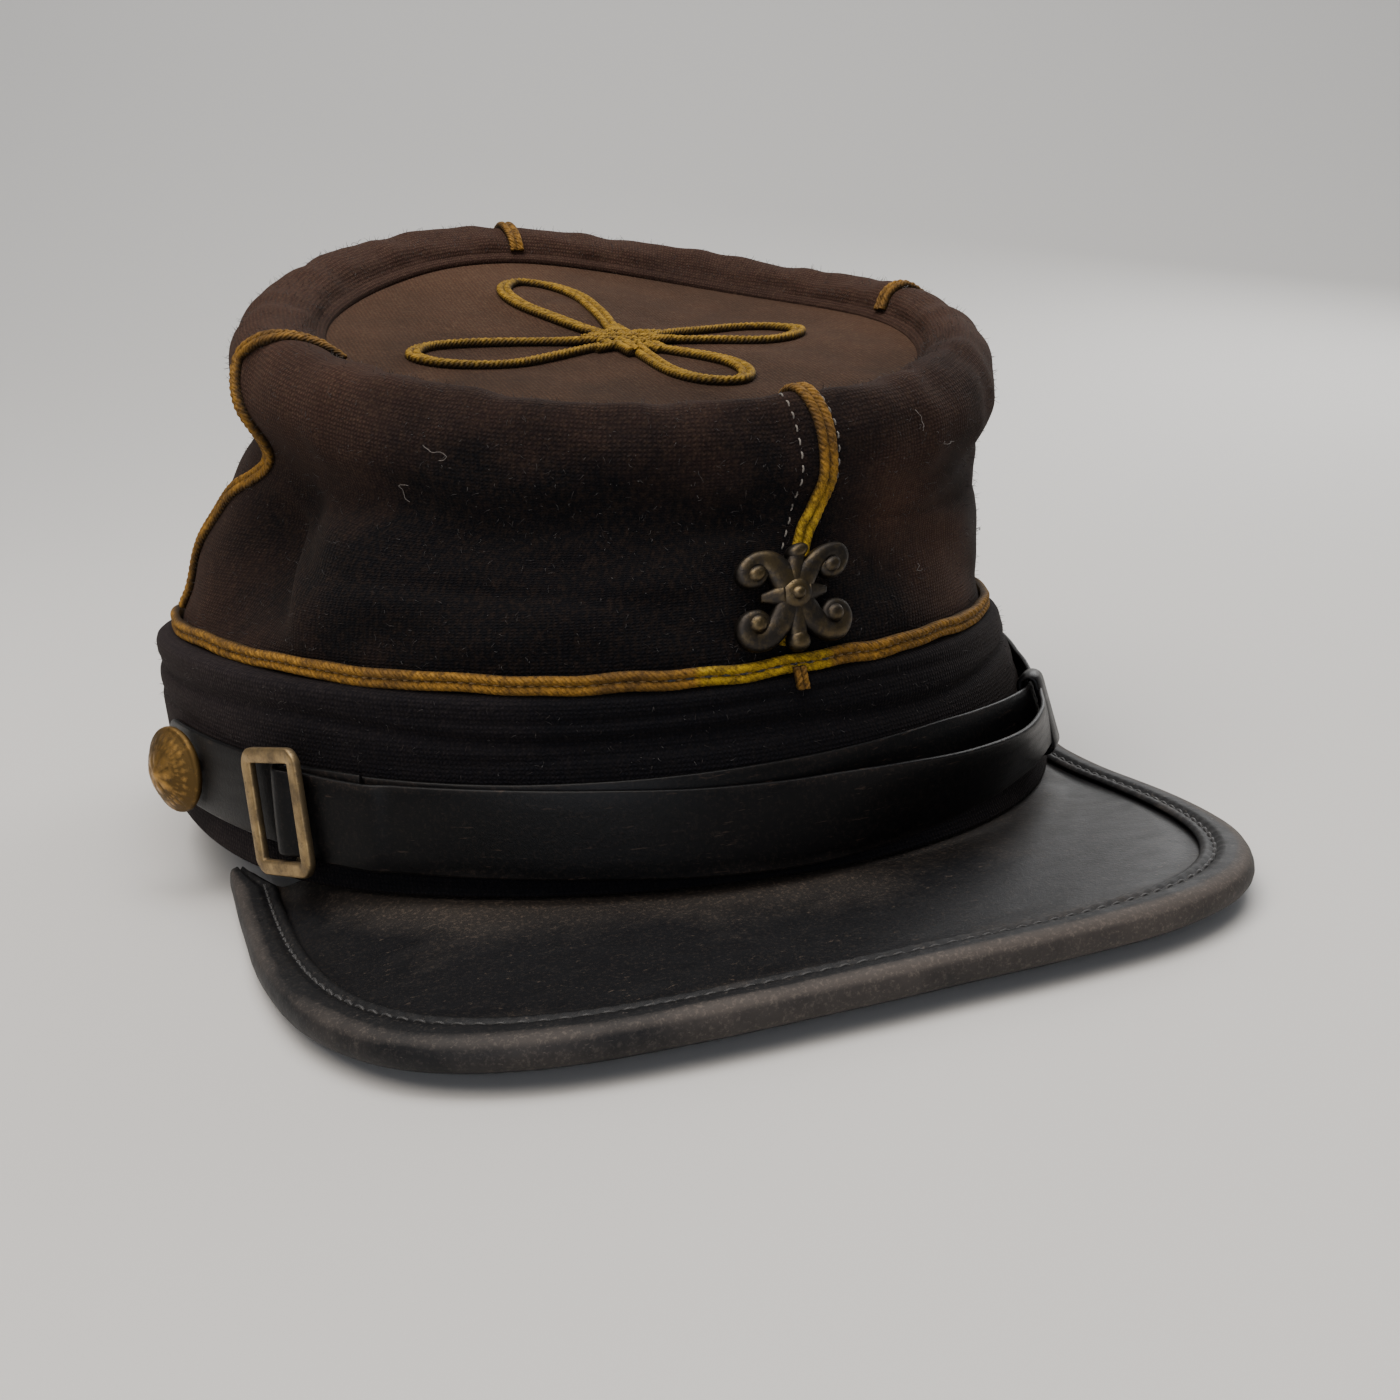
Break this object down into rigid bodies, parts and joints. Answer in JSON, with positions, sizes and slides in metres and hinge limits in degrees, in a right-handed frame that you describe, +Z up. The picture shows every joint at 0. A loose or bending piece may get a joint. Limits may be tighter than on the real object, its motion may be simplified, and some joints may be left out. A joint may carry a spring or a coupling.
{
  "type": "kepi cap",
  "caption": "Wool kepi cap: a low band, a slouched crown with a sunk round top, gold braid piping and knot, a leather peak with a rolled edge, and a buckled chin strap with side buttons.",
  "frame": {"origin": "under the middle of the cap's bounding box, on the surface it stands on", "axes": "+Z up as the cap stands, -Y to the peak, +X to the wearer's left"},
  "size_m": [0.195, 0.2334, 0.124],
  "materials": {
    "crown_wool": "napped wool broadcloth, faded brown on the rim",
    "top_wool": "napped wool broadcloth, faded brown",
    "band_wool": "napped wool broadcloth, dark",
    "peak_leather": "worn black leather, dusty",
    "binding_leather": "rubbed leather edge",
    "strap_leather": "black leather, half gloss",
    "gold_braid": "woven soutache braid, old gold",
    "brass": "tarnished",
    "dark_bronze": "darkened bronze with gilt high spots"
  },
  "bodies": {
    "root": {"crown": "crown_wool", "crown_top": "top_wool", "band": "band_wool", "peak": "peak_leather", "peak_binding": "binding_leather", "base_braid": "gold_braid", "front_braid": "gold_braid", "back_braid": "gold_braid", "left_braid": "gold_braid", "right_braid": "gold_braid", "top_knot": "gold_braid", "chin_strap_left": "strap_leather", "chin_strap_right": "strap_leather", "buckle": "brass", "side_button_left": "brass", "side_button_right": "brass", "cap_badge": "dark_bronze"}
  },
  "joints": []
}
